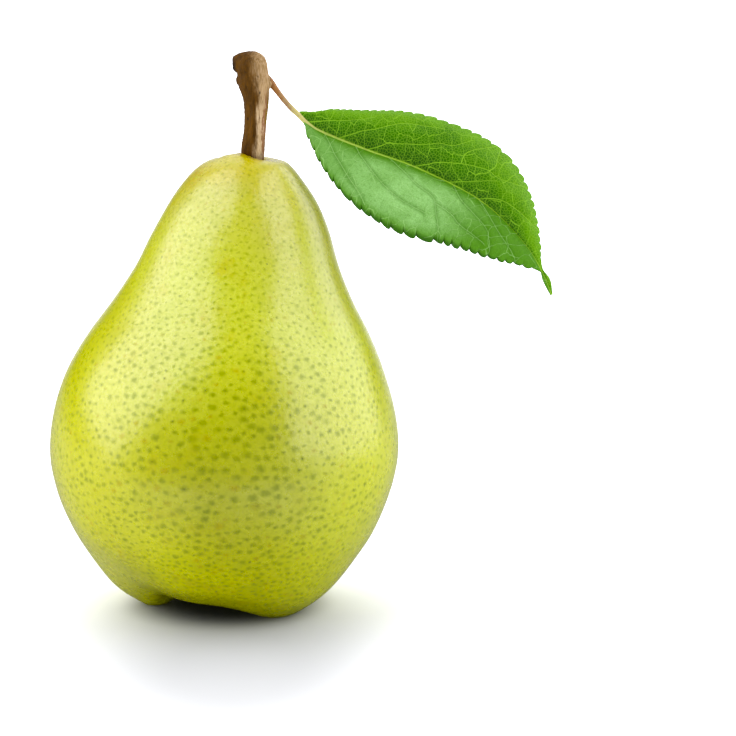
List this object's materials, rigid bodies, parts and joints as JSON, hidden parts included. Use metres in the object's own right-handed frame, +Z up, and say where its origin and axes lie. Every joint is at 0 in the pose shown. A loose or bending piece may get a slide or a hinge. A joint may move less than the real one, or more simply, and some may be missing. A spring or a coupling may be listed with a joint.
{
  "type": "pear",
  "caption": "A whole fresh green pear as picked, standing on its lobed foot, with a woody stem, a toothed leaf on its stalk and a dried calyx underneath.",
  "frame": {"origin": "the middle of the whole object's bounding box in plan, on the surface that the fruit stands on, so the fruit's own axis is 15.5 mm to the left of it", "axes": "+Z up along the fruit's height, +X to the right where the leaf reaches out, +Y away from the viewer"},
  "size_m": [0.1023, 0.0712, 0.1136],
  "materials": {
    "skin": "waxy yellow-green skin with fine darker dots, soft sheen",
    "bark": "dull brown bark, dark umber to tan, with a near-black scar",
    "leaf": "satin green blade with paler veins, tan stalk",
    "calyx": "dry, dull dark brown"
  },
  "bodies": {
    "root": {"fruit": "skin", "stem": "bark", "leaf": "leaf", "calyx": "calyx"}
  },
  "joints": []
}
